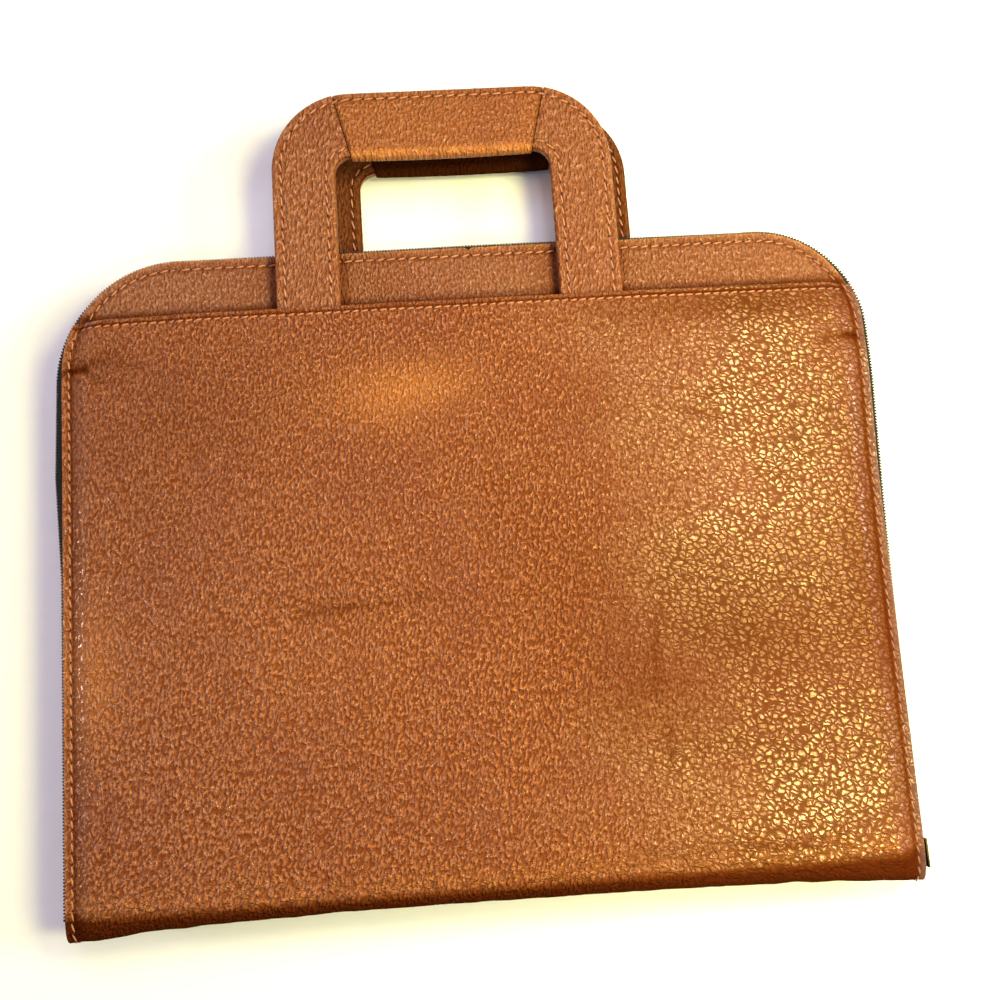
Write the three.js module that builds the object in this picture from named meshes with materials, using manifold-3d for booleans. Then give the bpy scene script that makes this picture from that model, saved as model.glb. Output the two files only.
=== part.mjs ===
// Leather binder bag with two slide-out handles, lying on its back with both handles drawn out.
// Millimetres. X runs across the bag, Y from the spine towards the handles, Z up from the table.
// The bag is laid out with Y = 0 at the crease above the spine, and centred on its box at the end.

import * as THREE from 'three';
import { mergeVertices } from 'three/addons/utils/BufferGeometryUtils.js';
import Module from 'manifold-3d';

// Body
const bagWidth = 356;
const coverHeight = 274; // crease to top edge
const cornerRadius = { left: 50, right: 44 };
const footRadius = 4; // lower corners of the cover panels
const mouthDrop = 27.6; // pocket mouth below the top edge
const leather = 2;
const pocketRoom = 7; // gap for a handle behind each pocket panel
const compartment = 8; // gap between the two covers
const clearance = 0.3; // between pieces that touch

// Levels above the table, from the back panel up to the front panel
const backCoverZ = leather + pocketRoom;
const frontCoverZ = backCoverZ + leather + compartment;
const frontPanelZ = frontCoverZ + leather + pocketRoom;
const bagDepth = frontPanelZ + leather;
const midZ = bagDepth / 2;

// Side seams: a flat margin sewn to the cover, then a steep and a gentle rise to the full depth
const seamMargin = 4.4;
const seamZ = frontCoverZ + leather + clearance + leather; // outer face of the margin
const steepRise = { width: 10, share: 0.6 };
const gentleRise = { width: 75, share: 0.4 };

// Spine: how far it stands out below the crease
const spineSections = [
  { x: -178, bulge: 13.4 },
  { x: -100, bulge: 11.4 },
  { x: -20, bulge: 10.4 },
  { x: 60, bulge: 11 },
  { x: 150, bulge: 14 },
  { x: 178, bulge: 15.8 },
];
const spineSquareness = 2.6; // 2 is an ellipse, more is squarer

// Dents (below zero) and swellings of the front panel
const frontRelief = [
  { name: 'fold at the left seam', x: -170, y: 228, reachX: 16, reachY: 7, rise: -1.6 },
  { name: 'dip under the mouth', x: 132, y: 243, reachX: 44, reachY: 10, rise: -1.2 },
  { name: 'hollow at the right corner', x: 168, y: 222, reachX: 14, reachY: 10, rise: -1.2 },
  { name: 'swelling below the mouth', x: -33, y: 212, reachX: 34, reachY: 26, rise: 0.9 },
  { name: 'upper right hollow', x: 128, y: 168, reachX: 30, reachY: 14, rise: -0.7 },
  { name: 'upper right swelling', x: 128, y: 198, reachX: 34, reachY: 16, rise: 0.8 },
  { name: 'right swelling', x: 110, y: 134, reachX: 42, reachY: 15, rise: 1 },
  { name: 'right hollow', x: 128, y: 104, reachX: 34, reachY: 14, rise: -0.8 },
  { name: 'lower right swelling', x: 124, y: 20, reachX: 38, reachY: 22, rise: 1.1 },
  { name: 'middle fold', x: -58, y: 114, reachX: 40, reachY: 9, rise: -0.6 },
  { name: 'left hollow', x: -136, y: 94, reachX: 18, reachY: 18, rise: -0.8 },
  { name: 'lower left hollow', x: -165, y: 48, reachX: 14, reachY: 22, rise: -1 },
];

// Handles
const handleWidth = 154;
const handleTop = 348.2;
const legWidth = 28.2;
const legEnd = 78; // lower end of the legs inside the pocket
const legEndRadius = 8;
const windowTop = 317.3;
const handleRadius = 36.5;
const windowRadius = 8;
const handleThickness = 5;
const handleRounding = 1.2;
const frontHandleX = -6.3;
const backHandleX = 3.2;
const backHandleLead = 1; // the rear handle is drawn out this much further
const coreThickness = 2.6; // bar thinned inside the grip
const coreInset = 1.9; // core above windowTop, and half of its distance below handleTop
const coreHalf = 52.5;

// Grips: folded sleeves with slanted ends
const gripBottom = 316;
const gripHalfTop = 48.5;
const gripHalfBottom = 40.8;
const gripThickness = 6.4;
const gripRounding = 2;
const gripCornerRadius = 2.2;

// Zip round three sides: bulge is how far the chain stands out past the leather edge,
// along is the share of the run from the lower right end to the lower left end
const zipRun = [
  { along: 0, bulge: 1.8 },
  { along: 0.12, bulge: 3 },
  { along: 0.2, bulge: 4.4 },
  { along: 0.28, bulge: 4.4 },
  { along: 0.36, bulge: 2.2 },
  { along: 0.5, bulge: 2.7 },
  { along: 0.64, bulge: 2 },
  { along: 0.7, bulge: 2.4 },
  { along: 0.74, bulge: 4.8 },
  { along: 0.79, bulge: 5.6 },
  { along: 0.84, bulge: 3.3 },
  { along: 1, bulge: 3.2 },
];
const zipEnds = { right: -12, left: -6 }; // past the crease, into the ends of the spine
const zipSideSteps = 8;
const zipCornerSteps = 8;
const tapeThickness = 1;
const tapeTuck = 8; // tape under the cover
const tapeLip = 0.5; // tape ends this far inside the chain's outer face
const chainHeight = 4.8;
const chainDepth = 2.8;
const chainChamfer = 0.9;

// Zip slider at the lower right end of the zip, with its pull hanging down
const sliderMiddle = -5; // from the crease
const sliderThickness = 2;
const sliderWidth = 8;
const sliderLength = 12;
const pullWidth = 5;
const pullLength = 9.5;
const sliderRadius = 1.2;
const sliderRounding = 0.4;

// Mesh steps
const frontRows = 18;
const spineRows = 8;
const backRows = 4;
const seamSteps = [0, 1.4, 2.9, 4.4, 6.4, 8.8, 11.6, 15, 26, 44]; // in from each edge
const middleSteps = 12;
const bowSteps = { curve: 7, edge: 2 };
const coverSteps = { curve: 10, edge: 1 };
const plainSteps = { curve: 3, edge: 1 };
const gripSteps = { curve: 3, edge: 4 };
const weldDistance = 1e-4;

const wasm = await Module();
wasm.setup();

const halfWidth = bagWidth / 2;
const mouthY = coverHeight - mouthDrop;

const tan = new THREE.MeshStandardMaterial({ color: 0xa8622f, roughness: 0.45, metalness: 0 });
const gripTan = new THREE.MeshStandardMaterial({ color: 0xb0692f, roughness: 0.4, metalness: 0 });
const tapeBlack = new THREE.MeshStandardMaterial({ color: 0x1d1a19, roughness: 0.9, metalness: 0 });
const chainBlack = new THREE.MeshStandardMaterial({ color: 0x24211f, roughness: 0.5, metalness: 0 });
const darkNickel = new THREE.MeshStandardMaterial({ color: 0x5a5652, roughness: 0.35, metalness: 1 });

// Straight-line reading of one column of a table of rows
function readTable(rows, key, column, at) {
  const next = rows.findIndex((row) => row[key] >= at);
  if (next <= 0) {
    return next === 0 ? rows[0][column] : rows.at(-1)[column];
  }
  const low = rows[next - 1];
  const high = rows[next];
  return THREE.MathUtils.mapLinear(at, low[key], high[key], low[column], high[column]);
}

// Closed solid through rings of points. Each ring runs anticlockwise seen from the way the rings advance:
// out along one side of the wall and back along the other, so a ladder between the sides closes an end.
function loft(rings) {
  const count = rings[0].length;
  const lastRing = (rings.length - 1) * count;
  const index = [];
  for (let i = 0; i + 1 < rings.length; i += 1) {
    for (let j = 0; j < count; j += 1) {
      const here = i * count + j;
      const beside = i * count + ((j + 1) % count);
      index.push(here, beside, here + count);
      index.push(beside, beside + count, here + count);
    }
  }
  for (let j = 0; j + 1 < count / 2; j += 1) {
    const across = count - 1 - j;
    index.push(j + 1, j, across, j + 1, across, across - 1);
    index.push(lastRing + j, lastRing + j + 1, lastRing + across);
    index.push(lastRing + j + 1, lastRing + across - 1, lastRing + across);
  }
  const geometry = new THREE.BufferGeometry().setFromPoints(rings.flat());
  geometry.setIndex(index);
  geometry.computeVertexNormals();
  return geometry;
}

// Outline with a fillet of radius r at each corner, corners anticlockwise
function roundedShape(corners) {
  const shape = new THREE.Shape();
  corners.forEach((corner, i) => {
    const here = new THREE.Vector2(corner.x, corner.y);
    const before = corners.at(i - 1);
    const after = corners[(i + 1) % corners.length];
    const toBefore = new THREE.Vector2(before.x, before.y).sub(here).normalize();
    const toAfter = new THREE.Vector2(after.x, after.y).sub(here).normalize();
    const halfAngle = Math.acos(toBefore.dot(toAfter)) / 2;
    const reach = corner.r / Math.tan(halfAngle);
    const centre = toBefore.clone().add(toAfter).setLength(corner.r / Math.sin(halfAngle)).add(here);
    const start = toBefore.clone().multiplyScalar(reach).add(here).sub(centre);
    const end = toAfter.clone().multiplyScalar(reach).add(here).sub(centre);
    const clockwise = toBefore.cross(toAfter) > 0;
    shape.absarc(centre.x, centre.y, corner.r, start.angle(), end.angle(), clockwise);
  });
  return shape;
}

// Flat piece with rounded edges, centred on Z = 0
function slab(shape, thickness, rounding, steps) {
  const geometry = new THREE.ExtrudeGeometry(shape, {
    depth: thickness - 2 * rounding,
    bevelEnabled: rounding > 0,
    bevelThickness: rounding,
    bevelSize: rounding,
    bevelOffset: -rounding,
    bevelSegments: steps.edge,
    curveSegments: steps.curve,
  });
  geometry.translate(0, 0, rounding - thickness / 2);
  return geometry;
}

function toSolid(geometry) {
  const bare = geometry.clone();
  bare.deleteAttribute('normal');
  bare.deleteAttribute('uv');
  const welded = mergeVertices(bare, weldDistance);
  return new wasm.Manifold(
    new wasm.Mesh({
      numProp: 3,
      vertProperties: Float32Array.from(welded.attributes.position.array),
      triVerts: Uint32Array.from(welded.index.array),
    }),
  );
}

function toGeometry(solid) {
  const mesh = solid.getMesh();
  const geometry = new THREE.BufferGeometry();
  geometry.setAttribute('position', new THREE.BufferAttribute(mesh.vertProperties, 3));
  geometry.setIndex(new THREE.BufferAttribute(mesh.triVerts, 1));
  geometry.computeVertexNormals();
  return geometry;
}

function piece(name, geometry, material) {
  const mesh = new THREE.Mesh(geometry, material);
  mesh.name = name;
  return mesh;
}

// Share of the full pocket depth at a distance in from the side edge
function pocketShare(inset) {
  const past = Math.max(inset - seamMargin, 0);
  const rise = (width) => 1 - (1 - Math.min(past / width, 1)) ** 2;
  return steepRise.share * rise(steepRise.width) + gentleRise.share * rise(gentleRise.width);
}

function reliefAt(x, y) {
  return frontRelief.reduce((sum, spot) => {
    const away = ((x - spot.x) / spot.reachX) ** 2 + ((y - spot.y) / spot.reachY) ** 2;
    return sum + spot.rise * Math.exp(-away);
  }, 0);
}

// Outer line of the wrap at one place across the bag: down the front, round the spine, up the back
function wrapLine(x) {
  const inset = halfWidth - Math.abs(x);
  const share = pocketShare(inset);
  const halfDepth = THREE.MathUtils.lerp(seamZ, bagDepth, share) - midZ;
  const bulge = readTable(spineSections, 'x', 'bulge', x);
  const radius = x < 0 ? cornerRadius.left : cornerRadius.right;
  const intoCorner = Math.max(radius - inset, 0);
  const cornerY = coverHeight - radius + Math.sqrt(radius ** 2 - intoCorner ** 2);
  const topY = Math.min(mouthY, cornerY);
  const line = [];
  for (let i = 0; i < frontRows; i += 1) {
    const y = topY * (1 - i / frontRows);
    line.push(new THREE.Vector2(y, midZ + halfDepth + share * reliefAt(x, y)));
  }
  const power = 2 / spineSquareness;
  for (let i = 0; i <= spineRows; i += 1) {
    const angle = (Math.PI * i) / spineRows;
    const up = Math.sign(Math.cos(angle)) * Math.abs(Math.cos(angle)) ** power;
    const fade = share * reliefAt(x, 0) * Math.max(up, 0);
    line.push(new THREE.Vector2(-bulge * Math.sin(angle) ** power, midZ + halfDepth * up + fade));
  }
  for (let i = 1; i <= backRows; i += 1) {
    line.push(new THREE.Vector2((topY * i) / backRows, midZ - halfDepth));
  }
  return line;
}

// The same line moved in by the leather's thickness
function insideOf(line) {
  return line.map((point, i) => {
    const before = line[Math.max(i - 1, 0)];
    const after = line[Math.min(i + 1, line.length - 1)];
    const along = after.clone().sub(before).normalize();
    return new THREE.Vector2(point.x - along.y * leather, point.y + along.x * leather);
  });
}

function outerWrap() {
  const edge = seamSteps.map((step) => step - halfWidth);
  const span = bagWidth - 2 * seamSteps.at(-1);
  const stations = [...edge];
  for (let i = 1; i < middleSteps; i += 1) {
    stations.push(edge.at(-1) + (span * i) / middleSteps);
  }
  stations.push(...edge.map((x) => -x).reverse());
  const rings = stations.map((x) => {
    const line = wrapLine(x);
    return [...line, ...insideOf(line).reverse()].map((point) => new THREE.Vector3(x, point.x, point.y));
  });
  return piece('outer_wrap', loft(rings), tan);
}

function coverPanel(name, level) {
  const shape = roundedShape([
    { x: -halfWidth, y: 0, r: footRadius },
    { x: halfWidth, y: 0, r: footRadius },
    { x: halfWidth, y: coverHeight, r: cornerRadius.right },
    { x: -halfWidth, y: coverHeight, r: cornerRadius.left },
  ]);
  const cover = piece(name, slab(shape, leather, leather / 4, coverSteps), tan);
  cover.position.z = level + leather / 2;
  return cover;
}

// Half width of the grip at a height on the bar
function gripHalf(y) {
  return THREE.MathUtils.mapLinear(y, gripBottom, handleTop, gripHalfBottom, gripHalfTop);
}

// Block between two heights whose ends follow the slanted ends of the grip
function gripBlock(lowY, highY, room, radius) {
  return roundedShape([
    { x: -gripHalf(lowY) - room, y: lowY, r: radius },
    { x: gripHalf(lowY) + room, y: lowY, r: radius },
    { x: gripHalf(highY) + room, y: highY, r: radius },
    { x: -gripHalf(highY) - room, y: highY, r: radius },
  ]);
}

// Straight bar through the grip, larger all round by room
function coreShape(room, half) {
  const low = windowTop + coreInset - room;
  const high = handleTop - 2 * coreInset + room;
  return roundedShape([
    { x: -half, y: low, r: coreInset },
    { x: half, y: low, r: coreInset },
    { x: half, y: high, r: coreInset },
    { x: -half, y: high, r: coreInset },
  ]);
}

function handleGeometry() {
  const outer = handleWidth / 2;
  const inner = outer - legWidth;
  const bow = roundedShape([
    { x: -outer, y: legEnd, r: legEndRadius },
    { x: -inner, y: legEnd, r: legEndRadius },
    { x: -inner, y: windowTop, r: windowRadius },
    { x: inner, y: windowTop, r: windowRadius },
    { x: inner, y: legEnd, r: legEndRadius },
    { x: outer, y: legEnd, r: legEndRadius },
    { x: outer, y: handleTop, r: handleRadius },
    { x: -outer, y: handleTop, r: handleRadius },
  ]);
  const cut = gripBlock(gripBottom - gripThickness, handleTop + gripThickness, clearance, clearance);
  const solid = toSolid(slab(bow, handleThickness, handleRounding, bowSteps))
    .subtract(toSolid(slab(cut, 2 * gripThickness, 0, plainSteps)))
    .add(toSolid(slab(coreShape(0, coreHalf), coreThickness, 0, plainSteps)));
  return toGeometry(solid);
}

function gripGeometry() {
  const outer = handleWidth / 2;
  const outside = roundedShape([
    { x: -outer, y: legEnd, r: legEndRadius },
    { x: outer, y: legEnd, r: legEndRadius },
    { x: outer, y: handleTop, r: handleRadius },
    { x: -outer, y: handleTop, r: handleRadius },
  ]);
  const sleeve = gripBlock(gripBottom, handleTop, 0, gripCornerRadius);
  const tunnel = slab(coreShape(clearance, handleWidth / 2), coreThickness + 2 * clearance, 0, plainSteps);
  const solid = toSolid(slab(sleeve, gripThickness, gripRounding, gripSteps))
    .intersect(toSolid(slab(outside, 2 * gripThickness, 0, bowSteps)))
    .subtract(toSolid(tunnel));
  return toGeometry(solid);
}

function handlePair(side, x, lead, z) {
  const pair = new THREE.Group();
  pair.add(piece(`${side}_handle`, handleGeometry(), tan));
  pair.add(piece(`${side}_grip`, gripGeometry(), gripTan));
  pair.position.set(x, lead, z);
  return pair;
}

// Places round the edge of the covers, from the lower right end to the lower left, with the way out
function edgeStations() {
  const stations = [];
  for (let i = 0; i < zipSideSteps; i += 1) {
    const y = THREE.MathUtils.lerp(zipEnds.right, coverHeight - cornerRadius.right, i / zipSideSteps);
    stations.push({ x: halfWidth, y, outX: 1, outY: 0 });
  }
  for (const side of [1, -1]) {
    const radius = side > 0 ? cornerRadius.right : cornerRadius.left;
    for (let i = 0; i <= zipCornerSteps; i += 1) {
      const turn = (Math.PI / 2) * (i / zipCornerSteps);
      const angle = side > 0 ? turn : Math.PI / 2 + turn;
      const outX = Math.cos(angle);
      const outY = Math.sin(angle);
      const x = side * (halfWidth - radius) + radius * outX;
      const y = coverHeight - radius + radius * outY;
      stations.push({ x, y, outX, outY });
    }
  }
  for (let i = 1; i <= zipSideSteps; i += 1) {
    const y = THREE.MathUtils.lerp(coverHeight - cornerRadius.left, zipEnds.left, i / zipSideSteps);
    stations.push({ x: -halfWidth, y, outX: -1, outY: 0 });
  }
  let run = 0;
  stations.forEach((station, i) => {
    const before = stations[Math.max(i - 1, 0)];
    run += Math.hypot(station.x - before.x, station.y - before.y);
    station.run = run;
  });
  return stations.map((station) => ({
    ...station,
    bulge: readTable(zipRun, 'along', 'bulge', station.run / run),
  }));
}

// Strip that follows the edge. profile gives its section for a bulge as points (height, outward)
function edgeStrip(name, profile, material) {
  const rings = edgeStations().map(({ x, y, outX, outY, bulge }) =>
    profile(bulge).map((point) => new THREE.Vector3(x + outX * point.y, y + outY * point.y, point.x)),
  );
  return piece(name, loft(rings), material);
}

function zipTape(name, low) {
  const high = low + tapeThickness;
  const profile = (bulge) => [
    new THREE.Vector2(low, -tapeTuck),
    new THREE.Vector2(high, -tapeTuck),
    new THREE.Vector2(high, bulge - tapeLip),
    new THREE.Vector2(low, bulge - tapeLip),
  ];
  return edgeStrip(name, profile, tapeBlack);
}

function zipChain() {
  const low = midZ - chainHeight / 2;
  const high = midZ + chainHeight / 2;
  const profile = (bulge) => [
    new THREE.Vector2(low, bulge - chainDepth),
    new THREE.Vector2(high, bulge - chainDepth),
    new THREE.Vector2(high, bulge - chainChamfer),
    new THREE.Vector2(high - chainChamfer, bulge),
    new THREE.Vector2(low + chainChamfer, bulge),
    new THREE.Vector2(low, bulge - chainChamfer),
  ];
  return edgeStrip('zip_chain', profile, chainBlack);
}

// Body and pull in one outline, flat against the outside of the chain
function zipSlider() {
  const half = sliderLength / 2;
  const low = -sliderWidth / 2;
  const shape = roundedShape([
    { x: -half, y: low, r: sliderRadius },
    { x: -pullWidth / 2, y: low, r: sliderRadius / 2 },
    { x: -pullWidth / 2, y: low - pullLength, r: 2 * sliderRadius },
    { x: pullWidth / 2, y: low - pullLength, r: 2 * sliderRadius },
    { x: pullWidth / 2, y: low, r: sliderRadius / 2 },
    { x: half, y: low, r: sliderRadius },
    { x: half, y: -low, r: sliderRadius },
    { x: -half, y: -low, r: sliderRadius },
  ]);
  const slider = piece('zip_slider', slab(shape, sliderThickness, sliderRounding, plainSteps), darkNickel);
  slider.rotation.set(Math.PI / 2, Math.PI / 2, 0); // its outline faces +X
  slider.position.set(halfWidth + zipRun[0].bulge + clearance + sliderThickness / 2, sliderMiddle, midZ);
  return slider;
}

const bag = new THREE.Group();
bag.add(outerWrap());
bag.add(coverPanel('front_cover', frontCoverZ));
bag.add(coverPanel('back_cover', backCoverZ));
bag.add(handlePair('front', frontHandleX, 0, frontCoverZ + leather + pocketRoom / 2));
bag.add(handlePair('back', backHandleX, backHandleLead, leather + pocketRoom / 2));
bag.add(zipTape('zip_tape_front', frontCoverZ - clearance - tapeThickness));
bag.add(zipTape('zip_tape_back', backCoverZ + leather + clearance));
bag.add(zipChain());
bag.add(zipSlider());

// The origin is the middle of the bag's box, on the table
const box = new THREE.Box3().setFromObject(bag);
const middle = box.getCenter(new THREE.Vector3());
bag.position.set(-middle.x, -middle.y, -box.min.z);

export default bag;
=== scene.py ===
# Leather binder bag lying on its back: pebbled hide, sewn seams, two slide-out handles, zip round three sides
import math
from functools import partial
import bpy
import numpy as np
from mathutils import Matrix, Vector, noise


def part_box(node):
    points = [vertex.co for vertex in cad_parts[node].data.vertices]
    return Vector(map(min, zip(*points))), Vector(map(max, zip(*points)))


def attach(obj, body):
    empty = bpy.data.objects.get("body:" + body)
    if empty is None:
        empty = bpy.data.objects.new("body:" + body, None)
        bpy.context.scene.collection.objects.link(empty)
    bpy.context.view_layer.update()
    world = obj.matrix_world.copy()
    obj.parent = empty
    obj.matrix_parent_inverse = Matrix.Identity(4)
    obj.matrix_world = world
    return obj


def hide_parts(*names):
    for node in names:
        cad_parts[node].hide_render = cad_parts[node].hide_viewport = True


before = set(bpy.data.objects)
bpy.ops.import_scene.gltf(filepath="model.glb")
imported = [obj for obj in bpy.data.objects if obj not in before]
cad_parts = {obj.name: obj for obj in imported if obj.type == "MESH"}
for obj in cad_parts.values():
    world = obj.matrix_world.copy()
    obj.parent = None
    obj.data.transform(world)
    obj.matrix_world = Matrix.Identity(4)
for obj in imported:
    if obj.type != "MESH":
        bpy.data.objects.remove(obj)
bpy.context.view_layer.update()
mm = 0.001
coverLow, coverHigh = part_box("front_cover")
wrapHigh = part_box("outer_wrap")[1]

# lengths are in millimetres: X from the bag's middle, Y from the crease above the spine, Z from the table
bag = {
    "middleX": (coverLow.x + coverHigh.x) / 2 / mm,
    "creaseY": coverLow.y / mm,
    "half": (coverHigh.x - coverLow.x) / 2 / mm,
    "top": (coverHigh.y - coverLow.y) / mm,
    "mouth": (wrapHigh.y - coverLow.y) / mm,
    "depth": 30,
    "cornerLeft": 50,
    "cornerRight": 44,
    "swell": (1.6, 212, 38, 110),  # the right edge stands out: how far, at which height, its reach, from which x
    "leather": 2,
}
midZ = bag["depth"] / 2


# small tools

def selectNothing():
    bpy.ops.object.select_all(action="DESELECT")


def pick(obj):
    selectNothing()
    obj.select_set(True)
    bpy.context.view_layer.objects.active = obj


def active(name):
    obj = bpy.context.active_object
    obj.name = name
    obj.data.name = name
    return obj


def editMode(on):
    bpy.ops.object.mode_set(mode="EDIT" if on else "OBJECT")


def applyModifiers(obj):
    pick(obj)
    for modifier in list(obj.modifiers):
        bpy.ops.object.modifier_apply(modifier=modifier.name)


def giveMaterials(obj, *materials):
    for material in materials:
        obj.data.materials.append(material)


def stack(*columns):  # columns of numbers side by side
    return np.stack(np.broadcast_arrays(*columns), axis=-1)


def vertexRows(obj):
    flat = np.zeros(len(obj.data.vertices) * 3)
    obj.data.vertices.foreach_get("co", flat)
    return flat.reshape(-1, 3)


def places(obj):
    co = vertexRows(obj) / mm
    x = co[:, 0] - bag["middleX"]
    y = co[:, 1] - bag["creaseY"]
    return x - edgeSwell(x, y), y, co[:, 2]


def toFrame(x, y, z):
    return stack(x + edgeSwell(x, y) + bag["middleX"], y + bag["creaseY"], z) * mm


def edgeSwell(x, y):
    rise, at, reach, startX = bag["swell"]
    return rise * bell(y - at, reach) * np.clip((x - startX) / (bag["half"] - startX), 0, 1) ** 2


def cornerAt(x):
    return np.where(np.asarray(x) < 0, bag["cornerLeft"], bag["cornerRight"])


def moveTo(obj, x, y, z):
    obj.data.vertices.foreach_set("co", toFrame(x, y, z).ravel())
    obj.data.update()


def bell(distance, width):
    return np.exp(-((distance / width) ** 2))


def lines(distance, rows):  # soft lines along an edge: distance in from it, width, amount
    return sum(amount * bell(distance - at, width) for at, width, amount in rows)


def patches(x, y, rows):  # soft patches: x, y, reach across, reach along, amount
    total = np.zeros_like(x)
    for spotX, spotY, reachX, reachY, amount in rows:
        total = total + amount * np.exp(-((x - spotX) / reachX) ** 2 - ((y - spotY) / reachY) ** 2)
    return total


def ripple(x, y, wave, layer):  # smooth bumps: height, size across, size along; each layer has its own
    height, sizeX, sizeY = wave
    pairs = zip((x / sizeX).ravel(), (y / sizeY).ravel())
    return height * np.array([noise.noise((a, b, layer)) for a, b in pairs]).reshape(np.shape(x))


def onArc(middle, radius, turn):
    return stack(middle[0] + radius * np.cos(turn), middle[1] + radius * np.sin(turn))


def newSheet(name, columns, rows):  # flat grid with a vertex for each column and row
    selectNothing()
    bpy.ops.mesh.primitive_grid_add(x_subdivisions=columns - 1, y_subdivisions=rows - 1, size=1)
    obj = active(name)
    co = vertexRows(obj) + 0.5
    column = np.rint(co[:, 0] * (columns - 1)).astype(int)
    row = np.rint(co[:, 1] * (rows - 1)).astype(int)
    return obj, column, row


def thicken(obj, thickness, offset, inside=0, rim=0):  # inside and rim are steps in the material list
    wall = obj.modifiers.new("wall", "SOLIDIFY")
    wall.thickness = thickness * mm
    wall.offset = offset
    wall.use_even_offset = True
    wall.material_offset = inside
    wall.material_offset_rim = rim
    applyModifiers(obj)


def facesUp(obj, up):  # an open sheet faces the way asked for
    pick(obj)
    editMode(True)
    bpy.ops.mesh.select_all(action="SELECT")
    bpy.ops.mesh.normals_make_consistent(inside=False)
    editMode(False)
    if (obj.data.polygons[0].normal.z > 0) != up:
        editMode(True)
        bpy.ops.mesh.flip_normals()
        editMode(False)


def smooth(obj, degrees=50):
    pick(obj)
    bpy.ops.object.shade_smooth_by_angle(angle=math.radians(degrees))


def note(obj, name, values):  # a number for each vertex that a material reads
    layer = obj.data.attributes.new(name, "FLOAT", "POINT")
    layer.data.foreach_set("value", np.clip(values, 0, 1).astype(np.float32))


def layFlat(obj, u, v):  # where each vertex lies on the hide before it is folded, in metres
    layer = obj.data.attributes.new("flat", "FLOAT_VECTOR", "POINT")
    layer.data.foreach_set("vector", (stack(u, v, 0) * mm).astype(np.float32).ravel())


def settle(obj, body, node=None):
    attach(obj, body)
    if node:
        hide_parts(node)


# materials

def paint(hexColour):
    parts = [int(hexColour[i:i + 2], 16) / 255 for i in (1, 3, 5)]
    linear = [p / 12.92 if p <= 0.04045 else ((p + 0.055) / 1.055) ** 2.4 for p in parts]
    return (*linear, 1)


def perMm(size):  # texture scale that gives features of this many millimetres
    return 1 / (size * mm)


def addNode(tree, kind, inputs=None, out=0, **settings):  # an input is another node's output or a fixed value
    node = tree.nodes.new("ShaderNode" + kind)
    for key, value in settings.items():
        setattr(node, key, value)
    for key, value in (inputs or {}).items():
        if isinstance(value, bpy.types.NodeSocket):
            tree.links.new(value, node.inputs[key])
        else:
            node.inputs[key].default_value = value
    return node.outputs[out]


def newMaterial(name, roughness, **sockets):  # the material, its way to add nodes and its way to feed the shader
    material = bpy.data.materials.new(name)
    material.use_nodes = True
    tree = material.node_tree
    shader = tree.nodes["Principled BSDF"]
    shader.inputs["Roughness"].default_value = roughness
    for key, value in sockets.items():
        shader.inputs[key.replace("_", " ")].default_value = value
    return material, partial(addNode, tree), lambda key, source: tree.links.new(source, shader.inputs[key])


def shaken(add, at, size, detail, by):  # pushes a pattern about, so that it runs unevenly
    shake = add("TexNoise", {"Vector": at, "Scale": perMm(size), "Detail": detail}, "Color", noise_dimensions="2D")
    centred = add("VectorMath", {0: shake, 1: (0.5, 0.5, 0.5)}, operation="SUBTRACT")
    return add("VectorMath", {0: centred, 1: (by * mm, by * mm, 0), 2: at}, operation="MULTIPLY_ADD")


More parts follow.
